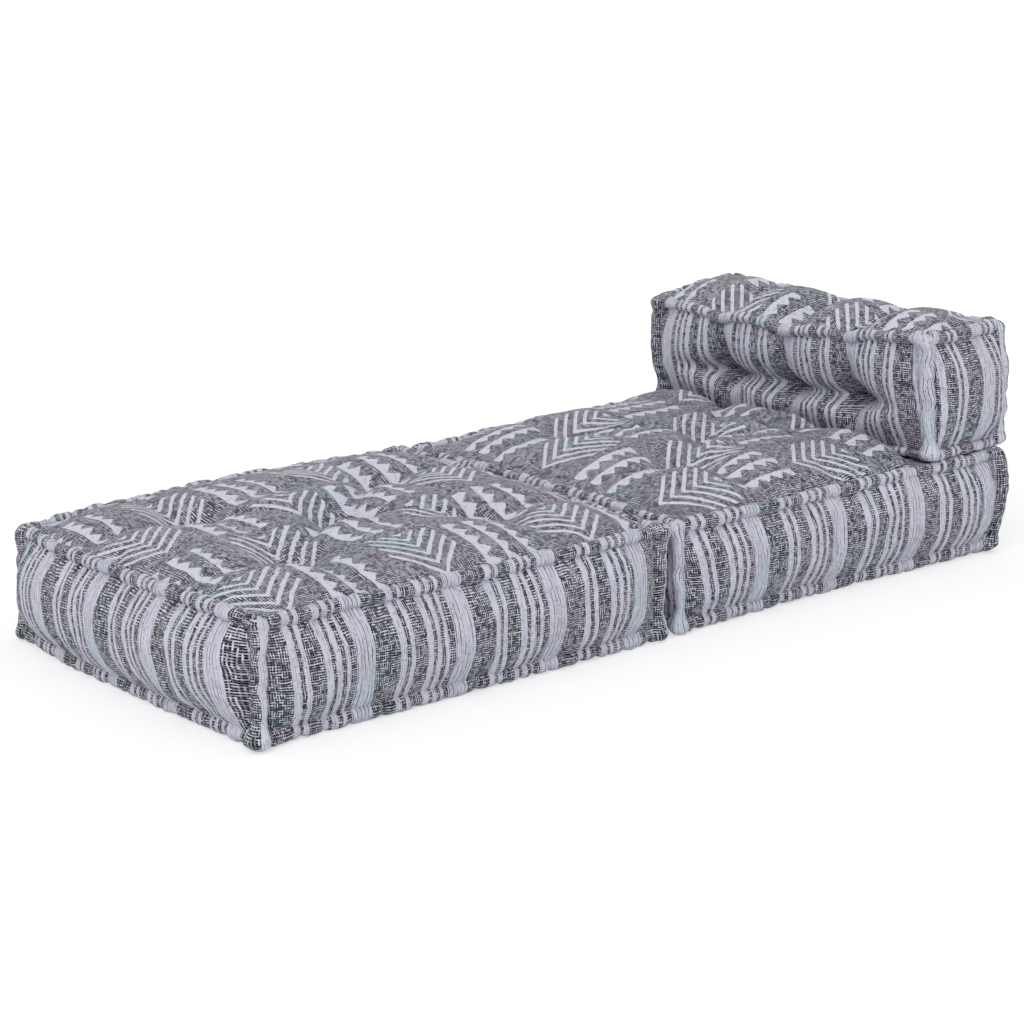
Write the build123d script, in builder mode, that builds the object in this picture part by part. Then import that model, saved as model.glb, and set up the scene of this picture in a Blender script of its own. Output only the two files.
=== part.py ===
import os
from collections import namedtuple
from math import atan2, exp, radians, sqrt, tan

from build123d import *

os.makedirs("parts", exist_ok=True)

# A modular floor sofa of three box cushions. The ottoman and the seat lie in a row on the floor,
# and the backrest stands on the seat's rear edge. X runs across the row, Y from the ottoman to
# the backrest, Z up, and the origin is on the floor in the middle of the row.

# Cushions, measured over their edge rolls
module_width = 600
module_length = 690
module_height = 168
module_gap = 16
backrest_width = 598
backrest_depth = 192
backrest_height = 199

# Stitched edge rolls, the flat on which the lowest stand, and the walls between them
roll_diameter = 25
roll_flat = 0.5
wall_inset = 14
wall_bulge = 13
panel_inset = 30

# Cover and filling
cloth = 2
seam_clearance = 0.3
filling_clearance = 0.8
panel_reach = 60

# Swell of a tufted top above its rim, the dips at its tufts, and the like on the backrest
rim_drop = 11
top_swell = 26
tuft_dip = 32
tuft_spread = 38
least_rise = 0.2
press_run = 45
backrest_crown = 15
backrest_tuft_dip = 38
crease_lean = radians(75)

# Tufting twine and the pockets that hold its knots
twine_diameter = 3
knot_diameter = 12
knot_height = 3
pocket_margin = 2
pocket_sink = 2

# How far the cutting shapes run past what they cut
overrun = 12

# Tufts, as shares of half the cushion
tuft_x_share = 0.4
tuft_y_share = 0.464
backrest_tuft_share = 0.458
# Rear dips against front ones, and the dip of the backrest's top over a tuft
rear_dip_share = 0.6
crown_dip_share = 0.5
# Rows that shape a face: from its middle to the tufts, and from the tufts to the edge
inner_row_shares = (0, 0.5)
outer_row_shares = (0, 0.42, 0.78, 1)
swell_power = 4

roll_radius = roll_diameter / 2
roll_seat = sqrt(2) * (roll_radius + seam_clearance)
twine_hole = twine_diameter / 2 + seam_clearance
pocket_radius = knot_diameter / 2 + pocket_margin
pocket_depth = knot_height + pocket_margin

Cushion = namedtuple("Cushion", "name half_x half_y height y z upright_ties")
row_length = 2 * module_length + module_gap
module_place = (module_length + module_gap) / 2
ottoman = Cushion(
    "ottoman", module_width / 2, module_length / 2, module_height, -module_place, 0, True
)
seat = Cushion("seat", module_width / 2, module_length / 2, module_height, module_place, 0, True)
backrest = Cushion(
    "backrest", backrest_width / 2, backrest_depth / 2, backrest_height,
    (row_length - backrest_depth) / 2, module_height + seam_clearance, False,
)


# Planes of a cushion, measured from the middle of its base
def across(cushion, y):
    return Plane((0, cushion.y + y, cushion.z), x_dir=(1, 0, 0), z_dir=(0, -1, 0))


def along(cushion, x):
    return Plane((x, cushion.y, cushion.z), x_dir=(0, 1, 0), z_dir=(1, 0, 0))


def level(cushion, z):
    return Plane((0, cushion.y, cushion.z + z))


def section_corners(half, height, inset):
    """Corners of a cushion's cross-section on one side, with a 45 degree seat for each roll."""
    wall = half - wall_inset - inset
    edge = half - panel_inset - inset
    low = half - roll_radius - (roll_radius - roll_flat) - roll_seat - sqrt(2) * inset
    high = half - roll_radius + (height - roll_radius) - roll_seat - sqrt(2) * inset
    return (low + inset, inset), (wall, wall - low), (wall, high - wall), (edge, high - edge)


def seam_heights(cushion):
    """Heights of the low and the high seam, half-way up the seats of the rolls."""
    foot, wall_foot, wall_head, shoulder = section_corners(cushion.half_y, cushion.height, 0)
    return (foot[1] + wall_foot[1]) / 2, (wall_head[1] + shoulder[1]) / 2


def barrel_outline(half, height, inset):
    """A cushion's cross-section: flat base, seats for the rolls, and bulging walls."""
    foot, wall_foot, wall_head, shoulder = section_corners(half, height, inset)
    belly = (wall_foot[0] + wall_bulge, (wall_foot[1] + wall_head[1]) / 2)
    ceiling = (shoulder[0], height + top_swell + overrun)
    with BuildSketch() as outline:
        with BuildLine():
            Polyline((0, foot[1]), foot, wall_foot)
            ThreePointArc(wall_foot, belly, wall_head)
            Polyline(wall_head, shoulder, ceiling, (0, ceiling[1]))
            mirror(about=Plane.YZ)
        make_face()
    return outline.sketch


def plan_outline(cushion, inset):
    """The cushion from above, with a seat for the upright roll at each corner."""
    reach_x = cushion.half_x + overrun
    reach_y = cushion.half_y + overrun
    corner = cushion.half_x + cushion.half_y - roll_diameter - roll_seat - sqrt(2) * inset
    with BuildSketch() as outline:
        with BuildLine():
            Polyline(
                (0, reach_y), (corner - reach_y, reach_y), (reach_x, corner - reach_x),
                (reach_x, reach_x - corner), (corner - reach_y, -reach_y), (0, -reach_y),
            )
            mirror(about=Plane.YZ)
        make_face()
    return outline.sketch


def dip(places, x, y=0):
    """How far a point of a face is drawn in by the nearest tuft, from 0 to 1."""
    nearest = min((x - place[0]) ** 2 + (y - place[1]) ** 2 for place in places)
    return exp(-nearest / (2 * tuft_spread**2))


def fullness(half, place):
    """How full a face is at a distance from its middle: 1 there, and 0 at its rim."""
    return 1 - min(1, abs(place) / (half - panel_inset)) ** swell_power


def row_places(half, tuft_share):
    """Distances from a face's middle at which its rows lie, on both sides."""
    tuft = tuft_share * half
    edge = half - panel_inset
    places = [share * tuft for share in inner_row_shares]
    places += [tuft + share * (edge - tuft) for share in outer_row_shares]
    places.append(half + overrun)
    return [-place for place in places[:0:-1]] + places


def tuft_places(cushion):
    """Where the twine passes: a quincunx in a top, or three in a line across a backrest."""
    if cushion.upright_ties:
        x = tuft_x_share * cushion.half_x
        y = tuft_y_share * cushion.half_y
        return [(0, 0), (-x, -y), (x, -y), (-x, y), (x, y)]
    foot, wall_foot, wall_head, shoulder = section_corners(cushion.half_y, cushion.height, 0)
    middle = (wall_foot[1] + wall_head[1]) / 2
    x = backrest_tuft_share * cushion.half_x
    return [(0, middle), (-x, middle), (x, middle)]


def tie_ends(cushion):
    """Where the floors of the two pockets of a tie lie, along its direction."""
    if cushion.upright_ties:
        x, y = tuft_places(cushion)[-1]
        full = fullness(cushion.half_x, x) * fullness(cushion.half_y, y)
        return pocket_depth, cushion.height - rim_drop + full * top_swell - tuft_dip - pocket_sink
    face = cushion.half_y - wall_inset + wall_bulge - pocket_sink
    return backrest_tuft_dip - face, face - rear_dip_share * backrest_tuft_dip


def top_height(cushion, x, y):
    """Height of a tufted top over the cushion's base."""
    full = fullness(cushion.half_x, x) * fullness(cushion.half_y, y)
    tufted = dip(tuft_places(cushion), x, y) * tuft_dip
    return cushion.height - rim_drop + full * top_swell - tufted


def top_outline(cushion, y, inset):
    """One cross-section under a tufted top: arcs between the rows that run along the cushion."""
    rows = row_places(cushion.half_x, tuft_x_share)
    nodes = [(x, top_height(cushion, x, y) - inset) for x in rows]
    with BuildSketch() as outline:
        with BuildLine():
            Line(nodes[0], nodes[1])
            for start, end in zip(nodes[1:-1], nodes[2:-1]):
                middle = (start[0] + end[0]) / 2
                chord = (start[1] + end[1]) / 2
                crest = top_height(cushion, middle, y) - inset
                if abs(crest - chord) < least_rise:
                    crest = chord + least_rise
                ThreePointArc(start, (middle, crest), end)
            Polyline(nodes[-2], nodes[-1], (nodes[-1][0], -overrun), (nodes[0][0], -overrun), nodes[0])
        make_face()
    return outline.sketch


def module_form(cushion, inset, pressed_from):
    """The seat or the ottoman as one solid, drawn in by the inset. Another cushion stands on it
    from pressed_from on, where its top is pressed flat."""
    floor, top_floor = tie_ends(cushion)
    rest = cushion.height - inset
    ceiling = cushion.height + top_swell + 2 * overrun
    with BuildPart() as form:
        with BuildSketch(across(cushion, 0)):
            add(barrel_outline(cushion.half_x, cushion.height, inset))
        extrude(amount=cushion.half_y + overrun, both=True)
        with BuildSketch(along(cushion, 0)):
            add(barrel_outline(cushion.half_y, cushion.height, inset))
        extrude(amount=cushion.half_x + overrun, both=True, mode=Mode.INTERSECT)
        with BuildSketch(level(cushion, 0)):
            add(plan_outline(cushion, inset))
        extrude(amount=cushion.height + top_swell + overrun, mode=Mode.INTERSECT)
        if pressed_from < cushion.half_y:
            with BuildSketch(along(cushion, 0)):
                with BuildLine():
                    Polyline(
                        (pressed_from, rest), (pressed_from - press_run, rest + top_swell),
                        (pressed_from - press_run, ceiling), (cushion.half_y, ceiling),
                        (cushion.half_y, rest), close=True,
                    )
                make_face()
            extrude(amount=cushion.half_x, both=True, mode=Mode.SUBTRACT)
        for y in row_places(cushion.half_y, tuft_y_share):
            with BuildSketch(across(cushion, y)):
                add(top_outline(cushion, y, inset))
        loft(ruled=True, mode=Mode.INTERSECT)
        with BuildSketch(level(cushion, top_floor - inset)):
            with Locations(*tuft_places(cushion)):
                Circle(pocket_radius + inset)
        extrude(amount=top_swell + tuft_dip, mode=Mode.SUBTRACT)
        with BuildSketch(level(cushion, 0)):
            with Locations(*tuft_places(cushion)):
                Circle(pocket_radius + inset)
        extrude(amount=floor + inset, mode=Mode.SUBTRACT)
    return form.part


def lobe_arc(start, end, lean):
    """Middle of an arc that has turned by lean from the upright where it reaches its end."""
    run, rise = end[0] - start[0], end[1] - start[1]
    turn = lean + atan2(run, rise)
    bow = tan(turn / 2) / 2
    return start[0] + run / 2 + rise * bow, start[1] + rise / 2 - run * bow


def backrest_outline(cushion, x, inset):
    """One cross-section of the backrest: a creased front and rear with two lobes each."""
    foot, wall_foot, wall_head, shoulder = section_corners(cushion.half_y, cushion.height, inset)
    middle = (wall_foot[1] + wall_head[1]) / 2
    drawn = dip(tuft_places(cushion), x, middle)
    crown = fullness(cushion.half_x, x) * (1 - crown_dip_share * drawn) * backrest_crown
    with BuildSketch() as outline:
        with BuildLine():
            for side, share in ((-1, 1), (1, rear_dip_share)):
                crease = (wall_foot[0] + wall_bulge - share * drawn * backrest_tuft_dip, middle)
                lobe = lobe_arc(wall_foot, crease, share * drawn * crease_lean)
                points = [foot, wall_foot, lobe, crease, (lobe[0], 2 * middle - lobe[1])]
                points = [(side * y, z) for y, z in points + [wall_head, shoulder]]
                Line(points[0], points[1])
                ThreePointArc(*points[1:4])
                ThreePointArc(*points[3:6])
                Line(points[5], points[6])
            Line((-foot[0], foot[1]), foot)
            crest = (0, shoulder[1] + least_rise + crown)
            ThreePointArc((-shoulder[0], shoulder[1]), crest, shoulder)
        make_face()
    return outline.sketch


def backrest_form(cushion, inset):
    """The backrest as one solid, drawn in by the inset."""
    front_floor, rear_floor = tie_ends(cushion)
    with BuildPart() as form:
        with BuildSketch(across(cushion, 0)):
            add(barrel_outline(cushion.half_x, cushion.height, inset))
        extrude(amount=cushion.half_y + overrun, both=True)
        with BuildSketch(level(cushion, 0)):
            add(plan_outline(cushion, inset))
        extrude(amount=cushion.height + top_swell + overrun, mode=Mode.INTERSECT)
        for x in row_places(cushion.half_x, backrest_tuft_share):
            with BuildSketch(along(cushion, x)):
                add(backrest_outline(cushion, x, inset))
        loft(ruled=True, mode=Mode.INTERSECT)
        with BuildSketch(across(cushion, front_floor + inset)):
            with Locations(*tuft_places(cushion)):
                Circle(pocket_radius + inset)
        extrude(amount=cushion.half_y, mode=Mode.SUBTRACT)
        with BuildSketch(across(cushion, rear_floor - inset)):
            with Locations(*tuft_places(cushion)):
                Circle(pocket_radius + inset)
        extrude(amount=-cushion.half_y, mode=Mode.SUBTRACT)
    return form.part


def tie_holes(cushion):
    """What the tufting twine takes away from the cover and the filling."""
    with BuildPart() as holes:
        with BuildSketch(level(cushion, 0) if cushion.upright_ties else across(cushion, 0)):
            with Locations(*tuft_places(cushion)):
                Circle(twine_hole)
        extrude(amount=cushion.height + top_swell + overrun, both=True)
    return holes.part


def save(piece, name):
    """Write one finished piece."""
    piece.label = name
    export_step(piece, f"parts/{name}.step")


def save_cover(cushion, outer, inner):
    """The six sewn panels of one cushion, parted at the seams under the rolls."""
    low_seam, high_seam = seam_heights(cushion)
    middle = cushion.height / 2
    reach_x = cushion.half_x + overrun
    reach_y = cushion.half_y + overrun
    corner_x = cushion.half_x - roll_radius
    corner_y = cushion.half_y - roll_radius
    holes = tie_holes(cushion)
    with BuildPart() as cover:
        add(outer)
        add(inner, mode=Mode.SUBTRACT)
        add(holes, mode=Mode.SUBTRACT)
    with BuildPart() as band:
        with BuildSketch(level(cushion, low_seam)):
            Rectangle(2 * reach_x, 2 * reach_y)
            Rectangle(
                2 * (corner_x - panel_reach), 2 * (corner_y - panel_reach), mode=Mode.SUBTRACT
            )
        extrude(amount=high_seam - low_seam)

    for name, amount in (("top_panel", cushion.height), ("bottom_panel", -cushion.height)):
        with BuildPart() as panel:
            add(cover.part)
            with BuildSketch(level(cushion, middle)):
                Rectangle(2 * reach_x, 2 * reach_y)
            extrude(amount=amount, mode=Mode.INTERSECT)
            add(band.part, mode=Mode.SUBTRACT)
        save(panel.part, f"{cushion.name}_{name}")

    with BuildPart() as walls:
        add(cover.part)
        add(band.part, mode=Mode.INTERSECT)
    for name, side, wide in (
        ("front_panel", -1, True), ("rear_panel", 1, True),
        ("left_panel", -1, False), ("right_panel", 1, False),
    ):
        reach, depth = (corner_x, corner_y) if wide else (corner_y, corner_x)
        wedge = [
            (reach + 2 * overrun, depth + 2 * overrun), (reach - panel_reach, depth - panel_reach),
            (panel_reach - reach, depth - panel_reach), (-reach - 2 * overrun, depth + 2 * overrun),
        ]
        wedge = [(a, side * b) if wide else (side * b, a) for a, b in wedge]
        with BuildPart() as panel:
            add(walls.part)
            with BuildSketch(level(cushion, low_seam)):
                with BuildLine():
                    Polyline(*wedge, close=True)
                make_face()
            extrude(amount=high_seam - low_seam, mode=Mode.INTERSECT)
        save(panel.part, f"{cushion.name}_{name}")


def save_filling(cushion, core):
    """The block of filling, pierced by the tufting twine."""
    holes = tie_holes(cushion)
    with BuildPart() as filling:
        add(core)
        add(holes, mode=Mode.SUBTRACT)
    save(filling.part, f"{cushion.name}_filling")


def save_roll(cushion, name, place, run, sides):
    """One edge roll, mitred at both ends against the two rolls that it meets there."""
    with BuildPart() as roll:
        with BuildSketch(Plane(place, z_dir=run)):
            Circle(roll_radius)
        extrude(amount=run.length + overrun, both=True)
        for end in (run, -run):
            for side in sides:
                slope = end.normalized() - side
                gap = slope.normalized() * seam_clearance / 2
                split(bisect_by=Plane(place + end - gap, z_dir=slope), keep=Keep.BOTTOM)
        if place.Z < cushion.z + roll_radius:
            split(bisect_by=level(cushion, 0), keep=Keep.TOP)
    save(roll.part, f"{cushion.name}_{name}_roll")


def save_rolls(cushion):
    """Twelve edge rolls: four across the cushion, four along it and four upright."""
    middle = Vector(0, cushion.y, cushion.z)
    right = Vector(cushion.half_x - roll_radius, 0, 0)
    rear = Vector(0, cushion.half_y - roll_radius, 0)
    base = roll_radius - roll_flat
    head = cushion.height - roll_radius
    up = Vector(0, 0, (head - base) / 2)
    centre = middle + Vector(0, 0, (head + base) / 2)
    for level_name, rise in (("bottom", -1), ("top", 1)):
        for name, side in (("front", -1), ("rear", 1)):
            sides = (rear.normalized() * side, up.normalized() * rise)
            place = centre + rear * side + up * rise
            save_roll(cushion, f"{level_name}_{name}", place, right, sides)
        for name, side in (("left", -1), ("right", 1)):
            sides = (right.normalized() * side, up.normalized() * rise)
            place = centre + right * side + up * rise
            save_roll(cushion, f"{level_name}_{name}", place, rear, sides)
    for end_name, end in (("front", -1), ("rear", 1)):
        for name, side in (("left", -1), ("right", 1)):
            sides = (rear.normalized() * end, right.normalized() * side)
            save_roll(cushion, f"{end_name}_{name}", centre + rear * end + right * side, up, sides)


def save_ties(cushion):
    """The tufting twine: shanks through the filling with a knot in each pocket."""
    start, end = tie_ends(cushion)
    start -= seam_clearance
    end += seam_clearance
    plane, way = (level, 1) if cushion.upright_ties else (across, -1)
    with BuildPart() as ties:
        for place, radius, amount in (
            (start, twine_diameter / 2, end - start),
            (start, knot_diameter / 2, -knot_height),
            (end, knot_diameter / 2, knot_height),
        ):
            with BuildSketch(plane(cushion, place)):
                with Locations(*tuft_places(cushion)):
                    Circle(radius)
            extrude(amount=way * amount)
    save(ties.part, f"{cushion.name}_tuft_ties")


def save_cushion(cushion, form):
    """All pieces of one cushion, from the function that makes its form."""
    save_cover(cushion, form(0), form(cloth))
    save_filling(cushion, form(cloth + filling_clearance))
    save_rolls(cushion)
    save_ties(cushion)


backrest_front = backrest.y - backrest.half_y - seat.y
save_cushion(ottoman, lambda inset: module_form(ottoman, inset, ottoman.half_y))
save_cushion(seat, lambda inset: module_form(seat, inset, backrest_front))
save_cushion(backrest, lambda inset: backrest_form(backrest, inset))
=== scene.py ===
"""A modular floor sofa of three box cushions in hand-woven cloth: ottoman, seat and backrest.

All sizes are in metres, in the frame's own axes: X across, Y to the backrest, Z up.
"""
from collections import namedtuple
from functools import partialmethod
from math import copysign, cos, exp, pi, radians, sin
from random import Random

import bmesh
import bpy
from mathutils import Matrix, Vector, noise


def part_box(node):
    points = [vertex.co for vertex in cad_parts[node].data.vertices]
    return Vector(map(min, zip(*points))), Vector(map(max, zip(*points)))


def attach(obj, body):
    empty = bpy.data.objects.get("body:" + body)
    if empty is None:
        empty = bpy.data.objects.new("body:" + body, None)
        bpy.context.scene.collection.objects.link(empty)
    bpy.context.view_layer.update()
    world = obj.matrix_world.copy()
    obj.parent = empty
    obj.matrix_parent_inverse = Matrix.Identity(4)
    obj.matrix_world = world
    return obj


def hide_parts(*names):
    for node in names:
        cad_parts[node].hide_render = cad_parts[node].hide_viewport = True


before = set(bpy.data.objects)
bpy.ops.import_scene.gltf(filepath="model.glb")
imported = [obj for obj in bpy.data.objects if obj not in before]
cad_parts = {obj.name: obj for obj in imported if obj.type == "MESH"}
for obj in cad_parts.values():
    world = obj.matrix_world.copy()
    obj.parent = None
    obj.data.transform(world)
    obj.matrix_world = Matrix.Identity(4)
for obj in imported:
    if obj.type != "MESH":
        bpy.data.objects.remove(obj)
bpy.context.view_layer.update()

# How finely the cloth is modelled before it is puffed up and smoothed
COVER_CELL = 0.0065
COVER_MERGE = COVER_CELL / 50
ROLL_CELL = 0.0035
ROLL_SIDES = 22

# Radius of the rolls, how far the seams lie behind the rolls' outer faces, thickness of the cloth,
# its distance from the filling and from the floor, and radius of a knot
ROLL_RADIUS = 0.0100
BASE_RADIUS = {"ottoman": 0.0115, "seat": 0.0115, "backrest": 0.0080}
SEAM_INSET = 0.0120
SHELL = 0.0016
FILLING_GAP = 0.004
BASE_LIFT = 0.0012
KNOT_RADIUS = 0.006

# Rim and crown of the figured tops: powers of the crown across and towards the backrest
TOP_RIM = 0.0060
RIM_RUN = 0.004
TOP_SWELL = 0.028
TOP_POWERS = (4, 5)

# Tufts, and the valleys from the middle tuft, beside the outer ones and out to the edges
TUFT_DEPTH = 0.054
TUFT_SPREAD = 0.034
TUFT_POWER = 1.4
TUFT_PINCH = 0.008
VALLEY_DEPTH = 0.015
VALLEY_WIDTH = 0.021
VALLEY_POWER = 6
SIDE_VALLEY = 0.45
EDGE_VALLEY = 0.5
SPLAY_X = 1.1
SPLAY_Y = 1.05

# The seat is fuller than the ottoman, most of all near its front, and its rear tufts are weaker
SEAT_FULLNESS = 1.2
SEAT_FRONT_LUMP = 0.32
SEAT_LUMP_PLACE = -0.19
SEAT_LUMP_WIDTH = 0.13
REAR_TUFT_START = 0.6
REAR_TUFT_SHARE = 0.4

# Where the backrest presses on the seat, and the swell squeezed out in front of it
PRESS_START = 0.010
PRESS_RUN = 0.015
PRESS_GAP = 0.001
PRESS_SAG = 0.008
SQUEEZE_SWELL = 0.013
SQUEEZE_PLACE = 0.030
SQUEEZE_WIDTH = 0.035
SQUEEZE_POWER = 9

# Profile and lumps of the walls, and run of the bases
WALL_POWER = 2.7
WALL_END_POWER = 12
WALL_TOP_SHARE = 0.1
WALL_LUMPS = 1.3
WALL_LUMP_SIZE = 0.07
BASE_RUN = 0.018

# Creased faces of the backrest: the crease, its holes and the folds up and down from them
CREASE_HEIGHT = -0.019
CREASE_DEPTH = 0.024
CREASE_REACH = 0.15
CREASE_FADE = 0.10
CREASE_POWER = 1.3
CREASE_PIN = COVER_CELL * 0.6
HOLE_DEPTH = 0.056
HOLE_SPREAD = 0.024
FOLD_DEPTH = 0.013
FOLD_SPREAD = 0.015
FOLD_FADE = 0.5
FOLD_POWER = 6

# The lobes over and under the crease: swell, share in which the crease rises, run of the holes
Lobe = namedtuple("Lobe", "swell rise run")
UPPER_LOBE = Lobe(0.011, 0.18, 0.026)
LOWER_LOBE = Lobe(0.010, 0.15, 0.015)
LOBE_POWER = 3
END_SWELL = 0.018
END_POWER = 2.2
BACK_REAR_SHARE = 0.55

# Top of the backrest, which dips over the tufts
BACK_TOP_SWELL = 0.023
BACK_TOP_POWERS = (6, 2.5)
BACK_TOP_DIP = 0.95
BACK_TOP_DIP_WIDTH = 0.028

# Unevenness of hand-packed cotton, and the puckers along the seams
LUMP_SIZE = 0.085
LUMP_HEIGHT = 0.0042
GATHER_SIZE = 0.012
GATHER_DEPTH = 0.0032
GATHER_START = 0.006
GATHER_RUN = 0.022
GATHER_STRETCH = 0.35
GATHER_SLICE = 0.3

# The puffing simulation, and the farthest that it moves the cloth
PUFF_FRAMES = 20
PUFF_CAP = 0.009
PUFF_SETTINGS = {
    "quality": 5,
    "mass": 0.3,
    "tension_stiffness": 15,
    "compression_stiffness": 15,
    "shear_stiffness": 8,
    "bending_stiffness": 0.3,
    "use_pressure": True,
    "uniform_pressure_force": 4.0,
    "vertex_group_mass": "held",
    "shrink_min": -0.05,
}

X, Y, Z = Vector((1, 0, 0)), Vector((0, 1, 0)), Vector((0, 0, 1))

# The six panels of a cover, with their axes as seen from outside
Side = namedtuple("Side", "name right up out")
SIDES = (
    Side("top", X, Y, Z),
    Side("bottom", X, -Y, -Z),
    Side("front", X, Z, -Y),
    Side("rear", -X, Z, Y),
    Side("left", -Y, Z, -X),
    Side("right", Y, Z, X),
)

# The four upright edges: which end and side they are at, and the ways along Y and X
UPRIGHTS = (
    ("front", -1, "left", -1),
    ("front", -1, "right", 1),
    ("rear", 1, "left", -1),
    ("rear", 1, "right", 1),
)


def share(value):
    """A value kept within 0 and 1."""
    return max(0.0, min(1.0, value))


def smooth(value):
    """An even ease from 0 to 1."""
    value = share(value)
    return value * value * (3 - 2 * value)


def hump(value, power):
    """1 in the middle, 0 at -1 and 1: the higher the power, the flatter the middle."""
    return max(0.0, 1 - abs(value) ** power)


def bell(value, width):
    """1 at zero, falling away over a width."""
    return exp(-((value / width) ** 2))


def uneven(x, y, z, size):
    """Smooth noise between about -1 and 1, with lumps of a size."""
    return noise.noise(Vector((x, y, z)) / size)


class Cushion:
    """One cushion as the frame has it: its box over the rolls, and its tufts."""

    def __init__(self, name, on_top):
        self.name = name
        self.body = f"{name}_module"
        self.on_top = on_top
        nodes = [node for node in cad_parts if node.startswith(name) and "roll" in node]
        rolls = [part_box(node) for node in nodes]
        self.low = Vector([min(low[axis] for low, high in rolls) for axis in range(3)])
        self.high = Vector([max(high[axis] for low, high in rolls) for axis in range(3)])
        self.middle = (self.low + self.high) / 2
        self.half = (self.high - self.low) / 2
        self.seam_half = self.half - Vector((SEAM_INSET,) * 3)
        low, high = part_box(f"{name}_tuft_ties")
        x = (high.x - low.x) / 2 - KNOT_RADIUS
        y = (high.y - low.y) / 2 - KNOT_RADIUS
        if on_top:
            self.tufts = [(0, 0), (-x, -y), (x, -y), (-x, y), (x, y)]
            edge = self.seam_half
            self.valleys = [((0, 0), tuft, 1.0) for tuft in self.tufts[1:]]
            self.valleys += [((-x, b), (x, b), SIDE_VALLEY) for b in (-y, y)]
            self.valleys += [((a, -y), (a, y), SIDE_VALLEY) for a in (-x, x)]
            for a, b in self.tufts[1:]:
                ends = (a * SPLAY_X, copysign(edge.y, b)), (copysign(edge.x, a), b * SPLAY_Y)
                self.valleys += [((a, b), end, EDGE_VALLEY) for end in ends]
        else:
            self.tufts = [(0, 0), (-x, 0), (x, 0)]


ottoman = Cushion("ottoman", True)
seat = Cushion("seat", True)
backrest = Cushion("backrest", False)
CUSHIONS = (ottoman, seat, backrest)

# How far each wall swells out over its seams, and how its stripes lie: where the cloth's repeat
# starts from its left edge, how long a repeat is there, whether its bands run the other way, and
# how far they drift to the right on their way down, at the wall's left and right end
REPEAT = 0.161
Wall = namedtuple("Wall", "bulge start repeat turned lean_left lean_right")
WALLS = {
    "ottoman_front": Wall(0.034, 0.1310, 0.1360, False, 0.026, 0.026),
    "ottoman_right": Wall(0.026, 0.0005, 0.159, False, 0.017, 0.0),
    "ottoman_rear": Wall(0.014, 0.040, 0.150, False, 0.0, 0.0),
    "ottoman_left": Wall(0.020, 0.020, 0.160, False, 0.006, 0.0),
    "seat_front": Wall(0.014, 0.030, 0.150, False, 0.0, 0.0),
    "seat_right": Wall(0.023, -0.012, 0.1655, False, 0.028, 0.010),
    "seat_rear": Wall(0.024, 0.050, 0.150, False, 0.004, 0.0),
    "seat_left": Wall(0.020, 0.020, 0.160, False, 0.006, 0.004),
    "backrest_front": Wall(0.0, 0.034, 0.1326, True, 0.0, 0.012),
    "backrest_right": Wall(0.022, 0.106, 0.150, True, 0.006, 0.004),
    "backrest_rear": Wall(0.008, 0.030, 0.140, True, 0.0, 0.0),
    "backrest_left": Wall(0.020, 0.040, 0.150, True, 0.0, 0.006),
}

# After how many repeats the bands of a wall grow wider towards its right end
TAILS = {"ottoman_front": 3}
TAIL_RATE = 0.45

# How far an edge bows outwards in its middle, at the base and at the top, and how far it rises
BOW_REACH = 0.12
BOWS = {
    "ottoman_front": (0.011, 0.002, 0.0),
    "ottoman_left": (0.002, 0.008, 0.005),
    "ottoman_right": (0.001, 0.0, 0.0),
    "seat_left": (0.002, 0.009, 0.007),
    "seat_right": (-0.018, 0.003, 0.0),
    "backrest_rear": (0.003, -0.004, 0.0),
    "backrest_left": (0.0, 0.0, 0.006),
}

# How far a corner strays across and towards the backrest: at the base, halfway up and at the top
CORNER_REACH = 0.13
CORNERS = {
    "ottoman_front_left": ((0.009, 0.009), (0.006, 0.008), (0.014, 0.014)),
    "ottoman_front_right": ((0.006, -0.007), (0.0, 0.0), (-0.001, 0.001)),
    "ottoman_rear_right": ((-0.007, -0.003), (-0.001, -0.007), (0.0, -0.004)),
    "seat_front_right": ((-0.007, 0.009), (-0.002, -0.001), (0.0, -0.008)),
    "seat_rear_right": ((-0.015, -0.009), (0.003, 0.006), (-0.005, -0.004)),
    "backrest_front_left": ((0.006, 0.002), (-0.001, -0.003), (0.010, 0.006)),
    "backrest_rear_right": ((-0.006, -0.004), (0.0, 0.001), (-0.011, -0.009)),
}

# How far the left edge of the ottoman's top rises at its rear end and sinks at its front end
OTTOMAN_TILT = 0.004

# How far the backrest's top sinks at its front edge: at the right end, and more to the left
FRONT_SAG = 0.002
FRONT_SAG_LEFT = 0.021
FRONT_SAG_RUN = 0.30

# How far it sinks at its rear edge: in all, less to the right, and in two hollows (depth, place,
# width), and how far the tufts pull its front edge down
REAR_SAG = 0.0035
REAR_SAG_SLOPE = 0.010
REAR_HOLLOW = (0.008, 0.04, 0.2)
REAR_RIGHT_HOLLOW = (0.004, 0.21, 0.07)
TUFT_PULL = 0.008
TUFT_PULL_WIDTH = 0.03

# How far its face stands back at the base, and how far it leans forwards from there to the top
FACE_BACK = 0.019
FACE_LEAN = 0.025

# Where the middle of the figured cloth lies on each top
SLIDES = {"ottoman": (0.035, -0.035), "seat": (-0.026, -0.062), "backrest": (0.0, 0.0)}


def cloth_along(cushion, side_name, place, drop):
    """Cloth coordinate across the stripes, at a place from a wall's middle and a share down."""
    name = f"{cushion.name}_{side_name}"
    wall = WALLS[name]
    width = cushion.half.x if side_name in ("front", "rear") else cushion.half.y
    lean = wall.lean_left + (wall.lean_right - wall.lean_left) * ((place + width) / (2 * width))
    turns = (place + width - lean * drop - wall.start) / wall.repeat
    tail = TAILS.get(name, turns)
    turns = min(turns, tail + (turns - tail) * TAIL_RATE)
    return (-turns if wall.turned else turns) * REPEAT


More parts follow.
